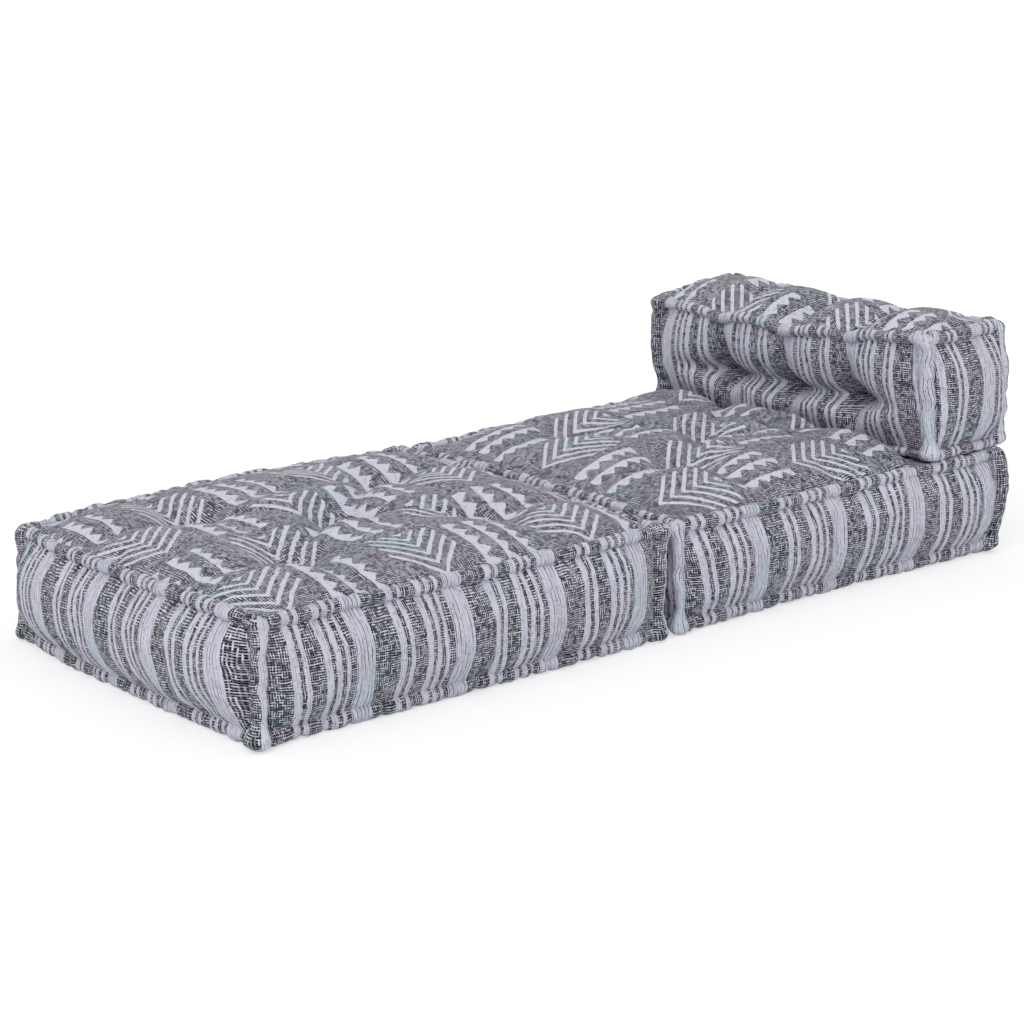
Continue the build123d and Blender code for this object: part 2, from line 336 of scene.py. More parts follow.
def settle(cushion, point):
    """Where a point of a perfect cushion ends up on the used one."""
    local = point - cushion.middle
    height = share((local.z + cushion.half.z) / (2 * cushion.half.z))
    moved = point.copy()
    bow_edges(cushion, local, height, moved)
    stray_corners(cushion, local, height, moved)
    if cushion is ottoman:
        left = smooth(0.5 - local.x / cushion.half.x / 2)
        moved.z += OTTOMAN_TILT * height * left * local.y / cushion.half.y
    if cushion is backrest:
        slump(cushion, local, height, moved)
    return moved


def bow_edges(cushion, local, height, moved):
    """Move a point with the bowed edges near it."""
    for side in SIDES[2:]:
        bow = BOWS.get(f"{cushion.name}_{side.name}")
        if not bow:
            continue
        depth = abs(side.out.dot(cushion.half)) - local.dot(side.out)
        if depth > BOW_REACH:
            continue
        width = abs(side.right.dot(cushion.half))
        reach = hump(local.dot(side.right) / width, 2) * smooth(1 - depth / BOW_REACH)
        moved += side.out * ((bow[0] + (bow[1] - bow[0]) * height) * reach)
        moved.z += bow[2] * height * reach * reach


def stray_corners(cushion, local, height, moved):
    """Move a point with the strayed corner near it."""
    for end_name, end, side_name, way in UPRIGHTS:
        stray = CORNERS.get(f"{cushion.name}_{end_name}_{side_name}")
        if not stray:
            continue
        near = smooth(1 - abs(cushion.half.x - way * local.x) / CORNER_REACH)
        near *= smooth(1 - abs(cushion.half.y - end * local.y) / CORNER_REACH)
        weights = (
            (1 - height) * (1 - 2 * height), 4 * height * (1 - height), height * (2 * height - 1),
        )
        for weight, (across, back) in zip(weights, stray):
            moved += Vector((across, back, 0)) * (weight * near)


def slump(cushion, local, height, moved):
    """Move a point with the backrest's sinking top, pressed base and leaning face."""
    front = share((cushion.half.y - local.y) / (2 * cushion.half.y))
    front_sag = FRONT_SAG + FRONT_SAG_LEFT * smooth((cushion.half.x - local.x) / FRONT_SAG_RUN)
    depth, place, width = REAR_HOLLOW
    rear_sag = REAR_SAG - REAR_SAG_SLOPE * local.x + depth * hump((local.x - place) / width, 2)
    depth, place, width = REAR_RIGHT_HOLLOW
    rear_sag += depth * bell(local.x - place, width)
    moved.z -= height * (front_sag * front + rear_sag * (1 - front))
    moved.z -= (1 - height) * PRESS_SAG * hump(local.x / cushion.half.x, 2)
    moved.y += front * (FACE_BACK - FACE_LEAN * height)
    moved.z -= height * front * TUFT_PULL * in_line(cushion, local.x, TUFT_PULL_WIDTH)


def crown(u, v, half_u, half_v, powers):
    """How full a top is, from 0 at its seams to 1."""
    return hump(u / half_u, powers[0]) * hump(v / half_v, powers[1])


def nearest_tuft(cushion, x, y):
    return min(((x - a) ** 2 + (y - b) ** 2) ** 0.5 for a, b in cushion.tufts)


def in_line(cushion, x, width):
    """1 straight over or under a tuft, falling away over a width."""
    return max(bell(x - a, width) for a, b in cushion.tufts)


def from_seam(u, v, half_u, half_v):
    """How far a point of a panel is from the nearest seam."""
    return min(half_u - abs(u), half_v - abs(v))


def valley(cushion, x, y):
    """How deep a point lies in a valley from a tuft to another or to the edge, from 0 to 1."""
    near = 0.0
    for (x0, y0), (x1, y1), strength in cushion.valleys:
        a, b = x1 - x0, y1 - y0
        along = ((x - x0) * a + (y - y0) * b) / (a * a + b * b)
        off = abs((x - x0) * b - (y - y0) * a) / (a * a + b * b) ** 0.5
        near = max(near, strength * bell(off, VALLEY_WIDTH) * hump(2 * along - 1, VALLEY_POWER))
    return near


def rim(edge):
    """How high the cloth stands over its seam, at a distance from it."""
    return TOP_RIM * (1 - exp(-edge / RIM_RUN))


def top_lift(cushion, x, y):
    """Height of a module's top over its seams."""
    edge = from_seam(x, y, *cushion.seam_half.xy)
    tuft = exp(-((nearest_tuft(cushion, x, y) / TUFT_SPREAD) ** TUFT_POWER))
    full = crown(x, y, *cushion.seam_half.xy, TOP_POWERS)
    if cushion is seat:
        if y > cushion.tufts[-1][1] * REAR_TUFT_START:
            tuft *= REAR_TUFT_SHARE
        full *= SEAT_FULLNESS + SEAT_FRONT_LUMP * bell(y - SEAT_LUMP_PLACE, SEAT_LUMP_WIDTH)
    lift = rim(edge) + full * TOP_SWELL - VALLEY_DEPTH * valley(cushion, x, y) * (1 - tuft)
    lift -= TUFT_DEPTH * tuft
    lift += LUMP_HEIGHT * full * uneven(x, y, cushion.middle.y, LUMP_SIZE)
    lift += gathers(x, y, edge)
    if cushion is seat:
        front = backrest.low.y - cushion.middle.y
        free = smooth((front + PRESS_START - y) / PRESS_RUN)
        flat = cushion.half.z - cushion.seam_half.z - SHELL - PRESS_GAP
        flat -= (PRESS_SAG + PRESS_GAP) * hump(x / cushion.half.x, 2)
        swell = SQUEEZE_SWELL * bell(y - front + SQUEEZE_PLACE, SQUEEZE_WIDTH)
        swell *= hump(x / cushion.half.x, SQUEEZE_POWER)
        lift = (lift + swell) * free + min(lift, flat) * (1 - free)
    return lift


def gathers(u, v, edge):
    """Small puckers of the cloth along its seams."""
    pucker = GATHER_DEPTH * uneven(u, v, GATHER_SLICE, GATHER_SIZE)
    return pucker * smooth(edge / GATHER_START) * exp(-edge / GATHER_RUN)


def wall_swell(cushion, side, u, v, half_u, half_v):
    """How far a wall stands out over its seams."""
    edge = from_seam(u, v, half_u, half_v)
    bulge = WALLS[f"{cushion.name}_{side.name}"].bulge
    slice_place = cushion.middle.y + side.up.z + side.right.x
    lumps = LUMP_HEIGHT * WALL_LUMPS * uneven(u, v, slice_place, WALL_LUMP_SIZE)
    full = hump(v / half_v, WALL_POWER) * (1 + WALL_TOP_SHARE * v / half_v)
    full *= hump(u / half_u, WALL_END_POWER)
    return (bulge + lumps) * full + gathers(u, v * GATHER_STRETCH, edge)


def crease(cushion, u, v, half_v):
    """The two lobes of the backrest's face, and the crease and holes between them."""
    over = v > CREASE_HEIGHT
    lobe = UPPER_LOBE if over else LOWER_LOBE
    off = abs(v - CREASE_HEIGHT)
    part = off / (half_v - CREASE_HEIGHT if over else half_v + CREASE_HEIGHT)
    middle = 1 - smooth((abs(u) - CREASE_REACH) / CREASE_FADE)
    swell = lobe.swell * hump(2 * part - 1, LOBE_POWER) * middle
    ends = END_SWELL * hump(v / half_v, END_POWER) * (1 - middle)
    ends *= hump(u / cushion.seam_half.x, WALL_END_POWER)
    drawn = exp(-((part / lobe.rise) ** CREASE_POWER)) * CREASE_DEPTH * middle
    hole = in_line(cushion, u, HOLE_SPREAD)
    hole *= exp(-((off / lobe.run) ** CREASE_POWER)) * HOLE_DEPTH
    fold = in_line(cushion, u, FOLD_SPREAD)
    fold *= FOLD_DEPTH * (1 - FOLD_FADE * part) * hump(v / half_v, FOLD_POWER)
    return swell + ends - drawn - hole - fold


def stand_out(cushion, side, u, v, half_u, half_v):
    """How far a panel of the cover stands out over the plane of its seams."""
    edge = from_seam(u, v, half_u, half_v)
    if side.name == "bottom":
        return (cushion.half.z - cushion.seam_half.z - BASE_LIFT) * smooth(edge / BASE_RUN)
    if side.name == "top" and cushion.on_top:
        return top_lift(cushion, u, v)
    if side.name == "top":
        dips = in_line(cushion, u, BACK_TOP_DIP_WIDTH)
        swell = BACK_TOP_SWELL * crown(u, v, half_u, half_v, BACK_TOP_POWERS)
        return rim(edge) + swell * (1 - BACK_TOP_DIP * dips) + gathers(u, v, edge)
    out = wall_swell(cushion, side, u, v, half_u, half_v)
    if not cushion.on_top and side.name == "front":
        out += crease(cushion, u, v, half_v)
    if not cushion.on_top and side.name == "rear":
        out += crease(cushion, -u, v, half_v) * BACK_REAR_SHARE
    return out


def cloth_place(cushion, side, u, v, half_v):
    """Where a point of a panel lies on the cloth."""
    if side.name == "bottom":
        return u, v
    if side.name == "top":
        slide_u, slide_v = SLIDES[cushion.name]
        return (u - slide_u, v - slide_v) if cushion is ottoman else (-v + slide_v, u - slide_u)
    return cloth_along(cushion, side.name, u, (1 - v / half_v) / 2), v


def cover_block(cushion):
    """The whole cover as one closed mesh of six gridded panels."""
    bm = bmesh.new()
    cloth = bm.loops.layers.uv.new("cloth")
    half = cushion.seam_half
    for index, side in enumerate(SIDES):
        half_u, half_v = abs(side.right.dot(half)), abs(side.up.dot(half))
        distance = abs(side.out.dot(half))
        made = bmesh.ops.create_grid(
            bm, x_segments=round(2 * half_u / COVER_CELL), y_segments=round(2 * half_v / COVER_CELL),
            size=1,
        )
        faces = {face for vert in made["verts"] for face in vert.link_faces}
        for face in faces:
            face.material_index = index
            for loop in face.loops:
                u, v = loop.vert.co.x * half_u, loop.vert.co.y * half_v
                loop[cloth].uv = cloth_place(cushion, side, u, v, half_v)
        for vert in made["verts"]:
            u, v = vert.co.x * half_u, vert.co.y * half_v
            far = distance + stand_out(cushion, side, u, v, half_u, half_v)
            vert.co = cushion.middle + side.right * u + side.up * v + side.out * far
    bmesh.ops.remove_doubles(bm, verts=bm.verts, dist=COVER_MERGE)
    return bm


def new_object(name, bm):
    """An object in the scene with a mesh made of a mesh under construction."""
    mesh = bpy.data.meshes.new(name)
    bm.to_mesh(mesh)
    made = bpy.data.objects.new(name, mesh)
    bpy.context.scene.collection.objects.link(made)
    return made


def is_held(cushion, vert):
    """Whether the cover is sewn, tied, creased or lies on something at a vertex."""
    panels = {SIDES[face.material_index].name for face in vert.link_faces}
    if len(panels) > 1 or panels == {"bottom"}:
        return True
    place = vert.co - cushion.middle
    if cushion.on_top:
        pressed = cushion is seat and vert.co.y > backrest.low.y - PRESS_START
        tied = nearest_tuft(cushion, place.x, place.y) < TUFT_PINCH
        return panels == {"top"} and (tied or pressed)
    height = place.z - CREASE_HEIGHT
    tied = nearest_tuft(cushion, place.x, height) < TUFT_PINCH
    creased = abs(height) < CREASE_PIN and abs(place.x) < CREASE_REACH
    return panels <= {"front", "rear"} and (tied or creased)


def puff(cushion, bm):
    """Let air pressure fill the cover out between its seams and ties."""
    held = [index for index, vert in enumerate(bm.verts) if is_held(cushion, vert)]
    scene = bpy.context.scene
    cover = new_object("cover", bm)
    cover.vertex_groups.new(name="held").add(held, 1.0, "REPLACE")
    cloth = cover.modifiers.new("puff", "CLOTH")
    for name, value in PUFF_SETTINGS.items():
        setattr(cloth.settings, name, value)
    cloth.settings.effector_weights.gravity = 0
    cloth.collision_settings.use_collision = False
    cloth.point_cache.frame_start = 1
    cloth.point_cache.frame_end = PUFF_FRAMES
    for step in range(1, PUFF_FRAMES + 1):
        scene.frame_set(step)
    graph = bpy.context.evaluated_depsgraph_get()
    result = cover.evaluated_get(graph).to_mesh()
    ends = [vert.co.copy() for vert in result.vertices]
    cover.to_mesh_clear()
    scene.frame_set(1)
    bpy.data.objects.remove(cover)
    for vert, end in zip(bm.verts, ends):
        move = end - vert.co
        length = move.length
        if length > 0:
            vert.co += move * (PUFF_CAP * (1 - exp(-length / PUFF_CAP)) / length)


def mesh_piece(name, bm, material):
    """A finished mesh object, smooth shaded, at the frame's origin."""
    for face in bm.faces:
        face.smooth = True
        face.material_index = 0
    piece = new_object(name, bm)
    bm.free()
    piece.data.materials.append(material)
    return piece


def hand_over(piece, cushion, slot, *nodes):
    """Tie a piece to the body and hide the nodes that it stands for; slot is not used."""
    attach(piece, cushion.body)
    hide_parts(*nodes)


def refine(bm):
    """One round of smooth subdivision, keeping the UV map and the panel numbers."""
    holder = new_object("refined", bm)
    bm.free()
    for side in SIDES:
        holder.data.materials.append(None)
    modifier = holder.modifiers.new("smooth", "SUBSURF")
    modifier.levels = modifier.render_levels = 1
    graph = bpy.context.evaluated_depsgraph_get()
    result = holder.evaluated_get(graph).to_mesh()
    fine = bmesh.new()
    fine.from_mesh(result)
    holder.to_mesh_clear()
    bpy.data.objects.remove(holder)
    return fine


def make_cover(cushion, finishes):
    """The six panels and the filling of one cushion."""
    bm = cover_block(cushion)
    puff(cushion, bm)
    for vert in bm.verts:
        vert.co = settle(cushion, vert.co)
        vert.co.z = max(vert.co.z, cushion.low.z + BASE_LIFT)
    core = bm.copy()
    core.normal_update()
    moves = [(vert, vert.normal * FILLING_GAP) for vert in core.verts]
    for vert, move in moves:
        vert.co -= move
    filling = mesh_piece(f"{cushion.name}_filling_block", core, finishes["filling"])
    hand_over(filling, cushion, "cotton_filling", f"{cushion.name}_filling")
    fine = refine(bm)
    for index, side in enumerate(SIDES):
        panel = fine.copy()
        others = [face for face in panel.faces if face.material_index != index]
        bmesh.ops.delete(panel, geom=others, context="FACES")
        kind = {"top": "figured", "bottom": "base"}.get(side.name, "striped")
        piece = mesh_piece(f"{cushion.name}_{side.name}_cover", panel, finishes[kind])
        wall = piece.modifiers.new("cloth", "SOLIDIFY")
        wall.thickness = SHELL
        wall.offset = -1
        hand_over(piece, cushion, f"{kind}_cloth", f"{cushion.name}_{side.name}_panel")
    fine.free()


# Rolls: how near the floor they come, the bend of a level one round a corner, and its ears
FLOOR_GAP = 0.0003
ROLL_MERGE = 1e-5
ROLL_BEND = 0.011
EAR_REACH = 0.028
EAR_RISE = 0.002
EAR_OUT = 0.002
EAR_SWELL = 0.09

# Stitches that pinch a roll: steps between them, and how much less or more a step may be
STITCH_STEP = 0.040
STITCH_SPREAD = (0.55, 1.45)
STITCH_PINCH = 0.23
FIN_PINCH = 0.07
STITCH_WIDTH = 0.0055

# Unevenness of a roll: its lumps, large and small, the bends of its line and the grain of its cloth
ROLL_LUMP = 0.22
LARGE_LUMP = 0.045
SMALL_LUMP = 0.016
SMALL_LUMP_SHARE = 0.7
DRIFT = 0.0022
DRIFT_SIZE = 0.04
GRAIN = 0.0009
GRAIN_SIZE = 0.008

# Places in the noise that keep its uses on a roll apart
LARGE_SLICE = 0.1
SMALL_SLICE = 0.7
RUFFLE_SLICE = 0.4
DRIFT_SLICES = (1.1, 2.3, 3.7)

# Upright rolls: a fin with a ruffled edge that flares at its foot and a little at its ear, with a
# neck over its foot; at both tips it rounds off to the root of the last value
FIN_REACH = 0.0130
FIN_THICKNESS = 0.0120
FIN_OVERRUN = 0.001
FIN_INSET = 0.001
RUFFLE = 0.0085
RUFFLE_SIZE = 0.026
RUFFLE_FADE = 0.5
FLARE_RUN = 0.036
FLARE_EAR = 0.4
FLARE_REACH = 0.50
FLARE_THICKNESS = 0.72
FLARE_OUT = 0.0045
NECK = 0.18
NECK_PLACE = 0.044
NECK_WIDTH = 0.012
TIP = 0.03

# How wide an upright roll is against the others
FIN_WIDTHS = {"seat_front_right": 0.72, "ottoman_rear_right": 1.1, "backrest_front_right": 0.92}

# Where on the cloth the outermost line of each upright roll lies
CLOTH_ELSEWHERE = 0.02
CORNER_CLOTH = {
    "ottoman_front_left": 0.019,
    "ottoman_front_right": 0.036,
    "ottoman_rear_right": 0.0425,
    "seat_front_right": 0.143,
    "seat_rear_right": 0.019,
    "backrest_front_left": 0.002,
    "backrest_front_right": 0.143,
    "backrest_rear_right": 0.113,
}


def stitches(random, length):
    """Places along a roll where a stitch pinches it."""
    places = [-length / 2]
    while places[-1] < length / 2:
        places.append(places[-1] + STITCH_STEP * random.uniform(*STITCH_SPREAD))
    return places


def roll_girth(places, distance, seed, pinch):
    """Girth of a roll against its radius: uneven, and drawn in at its stitches."""
    nearest = min(abs(distance - place) for place in places)
    girth = 1 + ROLL_LUMP * uneven(distance, seed, LARGE_SLICE, LARGE_LUMP)
    girth += ROLL_LUMP * SMALL_LUMP_SHARE * uneven(distance, seed, SMALL_SLICE, SMALL_LUMP)
    return girth - pinch * bell(nearest, STITCH_WIDTH)


def make_roll(cushion, name, place_at, length, cloth_at, random, finish):
    """One edge roll: a lumpy tube along a path, closed at both ends."""
    bm = bmesh.new()
    cloth = bm.loops.layers.uv.new("cloth")
    steps = round(length / ROLL_CELL)
    bmesh.ops.create_grid(bm, x_segments=steps, y_segments=ROLL_SIDES, size=0.5)
    for face in bm.faces:
        for loop in face.loops:
            loop[cloth].uv = cloth_at(loop.vert.co.x * length, loop.vert.co.y)
    places = stitches(random, length)
    seed = random.uniform(0, 10)
    for vert in bm.verts:
        distance = vert.co.x * length
        turn = vert.co.y * 2 * pi
        centre, out, up, reach, thickness, ruffle = place_at(distance)
        drift = [uneven(distance, seed, place, DRIFT_SIZE) for place in DRIFT_SLICES]
        point = centre + Vector(drift) * DRIFT
        if abs(vert.co.x) < 0.5 - 0.2 / steps:
            girth = roll_girth(places, distance, seed, FIN_PINCH if ruffle else STITCH_PINCH)
            ring = out * (cos(turn) * reach) + up * (sin(turn) * thickness)
            wave = ruffle * uneven(distance, seed, RUFFLE_SLICE, RUFFLE_SIZE) * max(0.0, cos(turn))
            point += ring * girth + up * wave
            point += ring.normalized() * (uneven(*point, GRAIN_SIZE) * GRAIN)
        point = settle(cushion, point)
        point.z = max(point.z, cushion.low.z + FLOOR_GAP)
        vert.co = point
    bmesh.ops.remove_doubles(bm, verts=bm.verts, dist=ROLL_MERGE)
    bmesh.ops.recalc_face_normals(bm, faces=bm.faces)
    piece = mesh_piece(f"{cushion.name}_{name}_edge", bm, finish)
    hand_over(piece, cushion, "striped_cloth", f"{cushion.name}_{name}_roll")


def level_roll(cushion, side, rise, random, finish):
    """A roll along the top or base of a wall, mitred at both ends."""
    tube = ROLL_RADIUS if rise > 0 else BASE_RADIUS[cushion.name]
    axis = cushion.half - Vector((tube,) * 3)
    straight = abs(side.right.dot(axis)) - ROLL_BEND
    depth = abs(side.out.dot(axis))
    length = 2 * (straight + ROLL_BEND * pi / 4)

    def place_at(distance):
        angle = max(0.0, abs(distance) - straight) / ROLL_BEND
        way = 1 if distance > 0 else -1
        along = min(abs(distance), straight) + ROLL_BEND * sin(angle)
        inward = ROLL_BEND * (1 - cos(angle))
        ear = smooth(1 - (length / 2 - abs(distance)) / EAR_REACH)
        out = side.out * cos(angle) + side.right * (way * sin(angle))
        centre = cushion.middle + side.right * (way * along) + side.out * (depth - inward)
        lift = EAR_RISE * ear if rise > 0 else 0
        centre += Vector((0, 0, rise * axis.z + lift)) + out * (EAR_OUT * ear)
        radius = tube * (1 + EAR_SWELL * ear)
        return centre, out, Z, radius, radius, 0.0

    def cloth_at(distance, turn):
        drop = 0 if rise > 0 else 1
        return cloth_along(cushion, side.name, distance, drop), turn * 2 * pi * ROLL_RADIUS

    name = "top" if rise > 0 else "bottom"
    make_roll(cushion, f"{name}_{side.name}", place_at, length, cloth_at, random, finish)


def upright_roll(cushion, end_name, end, side_name, way, random, finish):
    """A flattened, ruffled roll up a corner, with a flared foot and ear."""
    axis = cushion.half - Vector((ROLL_RADIUS,) * 3)
    length = 2 * (cushion.half.z + FIN_OVERRUN)
    out = Vector((way, end, 0)).normalized()
    across = Z.cross(out)
    corner = cushion.middle + Vector((way * axis.x, end * axis.y, 0))
    corner_name = f"{cushion.name}_{end_name}_{side_name}"
    start = CORNER_CLOTH.get(corner_name, CLOTH_ELSEWHERE)
    width = FIN_WIDTHS.get(corner_name, 1)

    def place_at(distance):
        foot = smooth(1 - (length / 2 + distance) / FLARE_RUN)
        ear = smooth(1 - (length / 2 - distance) / FLARE_RUN)
        flare = foot + FLARE_EAR * ear
        neck = 1 - NECK * bell(length / 2 + distance - NECK_PLACE, NECK_WIDTH)
        reach = FIN_REACH * (1 + FLARE_REACH * flare) * neck
        thickness = FIN_THICKNESS * (width + FLARE_THICKNESS * flare) * neck
        centre = corner + Vector((0, 0, distance)) + out * (FLARE_OUT * flare - FIN_INSET)
        over = length / 2 - abs(distance)
        if over < thickness:
            close = max(TIP, 1 - (1 - over / thickness) ** 2) ** 0.5
            reach *= close
            thickness *= close
        return centre, out, across, reach, thickness, RUFFLE * (1 - flare * RUFFLE_FADE)

    def cloth_at(distance, turn):
        return start + turn * 2 * pi * ROLL_RADIUS, distance

    make_roll(cushion, f"{end_name}_{side_name}", place_at, length, cloth_at, random, finish)


def make_rolls(cushion, finish):
    """Twelve rolls: a ring round the base, a ring round the top, and four upright."""
    random = Random(cushion.name)
    for rise in (-1, 1):
        for side in SIDES[2:]:
            level_roll(cushion, side, rise, random, finish)
    for upright in UPRIGHTS:
        upright_roll(cushion, *upright, random, finish)


class Value:
    """A shader value that takes part in ordinary arithmetic."""

    def __init__(self, nodes, socket):
        self.nodes = nodes
        self.socket = socket

    def maths(self, operation, *others):
        sources = dict(enumerate([self, *others]))
        return self.nodes.node("ShaderNodeMath", {"operation": operation}, sources)

    __add__ = partialmethod(maths, "ADD")
    __sub__ = partialmethod(maths, "SUBTRACT")
    __mul__ = partialmethod(maths, "MULTIPLY")
    __truediv__ = partialmethod(maths, "DIVIDE")
    __mod__ = partialmethod(maths, "FLOORED_MODULO")
    __gt__ = partialmethod(maths, "GREATER_THAN")
    __lt__ = partialmethod(maths, "LESS_THAN")
    __abs__ = partialmethod(maths, "ABSOLUTE")
    down = partialmethod(maths, "FLOOR")
    rest = partialmethod(maths, "FRACT")
    over = partialmethod(maths, "MAXIMUM")
    under = partialmethod(maths, "MINIMUM")

    def __rsub__(self, other):
        return self * -1 + other

    def wave(self):
        """A sine with one turn for each whole number."""
        return (self * (2 * pi)).maths("SINE")


class Nodes:
    """A node tree under construction."""

    def __init__(self, tree):
        self.tree = tree

    def node(self, kind, settings=None, values=None, output=0):
        """Any node: its settings first, then the values or links of its sockets."""
        node = self.tree.nodes.new(kind)
        for name, value in (settings or {}).items():
            setattr(node, name, value)
        for name, value in (values or {}).items():
            self.feed(node.inputs[name], value)
        return Value(self, node.outputs[output])

    def feed(self, socket, value):
        if isinstance(value, Value):
            self.tree.links.new(value.socket, socket)
        else:
            socket.default_value = value

    def blend(self, factor, first, second, end):
        """Mix a shader node and a second shader at the end of the tree."""
        values = {0: factor, 1: Value(self, first.outputs[0]), 2: second}
        mixed = self.node("ShaderNodeMixShader", None, values)
        self.feed(self.tree.nodes[end].inputs[0], mixed)


class Finish(Nodes):
    """One material under construction."""

    def __init__(self, name, roughness, sheen, specular=0.2):
        self.material = bpy.data.materials.new(name)
        self.material.use_nodes = True
        super().__init__(self.material.node_tree)
        self.shader = self.tree.nodes["Principled BSDF"]
        self.feed(self.shader.inputs["Roughness"], roughness)
        self.feed(self.shader.inputs["Sheen Weight"], sheen)
        self.feed(self.shader.inputs["Specular IOR Level"], specular)

    def ramp(self, value, stops):
        """Even shades of grey between steps."""
        stepped = self.node("ShaderNodeValToRGB", None, {"Fac": value})
        ramp = stepped.socket.node.color_ramp
        ramp.interpolation = "CONSTANT"
        while len(ramp.elements) < len(stops):
            ramp.elements.new(1)
        for element, (place, grey) in zip(ramp.elements, stops):
            element.position = place
            element.color = (grey, grey, grey, 1)
        return stepped

    def mix(self, factor, first, second):
        """A colour between two others."""
        values = {0: factor, 6: first, 7: second}
        return self.node("ShaderNodeMix", {"data_type": "RGBA"}, values, 2)

    def vector(self, x, y):
        return self.node("ShaderNodeCombineXYZ", None, {0: x, 1: y})

    def noise(self, vector, scale, detail):
        values = {"Vector": vector, "Scale": scale, "Detail": detail}
        return self.node("ShaderNodeTexNoise", {"noise_dimensions": "3D"}, values)

    def dice(self, x, y):
        """A random number for each pair of whole numbers."""
        values = {"Vector": self.vector(x, y)}
        return self.node("ShaderNodeTexWhiteNoise", {"noise_dimensions": "2D"}, values)

    def patches(self, place, scale, steepness):
        """Soft large patches, 0 between them and 1 in them."""
        return ((self.noise(place, scale, 2) - PATCH_START) * steepness).over(0).under(1)

    def cloth(self):
        """Place on the cloth, in metres."""
        place = self.node("ShaderNodeUVMap", {"uv_map": "cloth"})
        across = self.node("ShaderNodeSeparateXYZ", None, {0: place})
        return place, across, Value(self, across.socket.node.outputs[1])

    def wear(self, colour, height, distance, strength):
        """Give the surface its colour and its relief."""
        values = {"Strength": strength, "Distance": distance, "Height": height}
        self.feed(self.shader.inputs["Base Color"], colour)
        self.feed(self.shader.inputs["Normal"], self.node("ShaderNodeBump", None, values))
        return self.material


def shade(red, green, blue):
    """A colour written as the eye sees it, as the shader takes it."""
    def linear(part):
        part /= 255
        return part / 12.92 if part <= 0.04045 else ((part + 0.055) / 1.055) ** 2.4
    return linear(red), linear(green), linear(blue), 1.0


# Surfaces and colours
CLOTH_ROUGHNESS = 0.92
CLOTH_SHEEN = 0.15
BASE_SHEEN = 0.1
FIBRE_ROUGHNESS = 0.9
COTTON = (shade(214, 208, 196), shade(240, 236, 226))
COTTON_SCALE = 40
TWINE = (shade(70, 70, 84), shade(150, 148, 160))
TWINE_SCALE = 900
INK = shade(17, 14, 30)
SLATE = shade(92, 90, 103)
SHADOW = shade(20, 17, 34)
MAUVE_THREAD = shade(215, 210, 224)
TEAL_THREAD = shade(199, 213, 219)
LILAC = shade(212, 208, 223)
ICE = shade(202, 213, 225)

# Threads of the tweed: pitch of the weft rows and of the warp across them, how many threads one
# passes before its shade changes, and how far they stray
WEFT = 0.0033
WARP = 0.0031
THREAD_RUN = 1.6
STRAY = 0.0036
STRAY_SCALE = 60
WARP_STRAY = 0.8
RUN_SHIFT = 9

# How pale the threads are: at least, how much they vary, where weft and warp start, how far one
# gives way to the other, and the grey of blurred cloth
FAINTEST = 0.16
THREAD_SPREAD = 0.88
WEFT_PALENESS = 0.25
WARP_PALENESS = 0.20
LEANING = 0.9
LEANING_SCALE = 45
CALM_GREY = 0.26

# Patches in which the cloth changes its tint or blurs: the noise that they start at, and the scale
# and steepness of both kinds
PATCH_START = 0.46
DRIFT_PATCHES = (9, 4)
CALM_PATCHES = (15, 5)

# Share of the pitch that a thread covers, at least, and how much more at most
WEFT_WIDTH = 0.33
WARP_WIDTH = 0.30
WIDTH_SPREAD = 0.14

# Relief of the threads, figures and dark lines, and how dark flecks and lines are in the pale yarn
WEFT_RELIEF = 0.5
WARP_RELIEF = 0.35
LINE_RELIEF = 0.4
FIGURE_RELIEF = 0.5
FLECK_START = 0.86
FLECK = 0.18
SPECKLE = 0.08
LINE = 0.9

# Height in metres and strength of each cloth's relief
STRIPED_RELIEF = (0.0008, 0.9)
FIGURED_RELIEF = (0.0007, 0.8)
BASE_RELIEF = (0.0006, 0.8)
FIBRE_RELIEF = (0.0008, 0.6)

# Second numbers that keep the random draws of different things apart
ROW_DRAW = 7.0
COLUMN_DRAW = 9.0
WARP_DRAW = 517.0
STRIPE_DRAW = 3.0
FIGURE_DRAW = 5.0

# The stripes of one repeat, widths in millimetres: dark and pale in turn, and how ragged they are
BANDS = (38, 10, 7, 7, 21, 10, 6, 7, 7, 5.5, 10, 32)
STRIPE_WOBBLE = 0.0022
STRIPE_WOBBLE_SCALE = 55
STRIPE_STEP = 0.0009

# Broken dark lines in the widest pale stripe, and faint ones in all: pitch, and share that is dark
PINSTRIPE_PITCH = 0.0062
PINSTRIPE_SHARE = 0.2
PINSTRIPE_START = 0.49
STREAK_SCALE = 240
STREAK_STRETCH = 0.12
FAINT_PITCH = 0.0031
FAINT_SHARE = 0.24
FAINT_END = 0.50
FAINT = 0.5
CORD_RELIEF = 0.6


def stripe_stops():
    """Ramp stops over one repeat: 0 in a dark band, 1 in a pale one."""
    return [(sum(BANDS[:index]) / sum(BANDS), index % 2) for index in range(len(BANDS))]


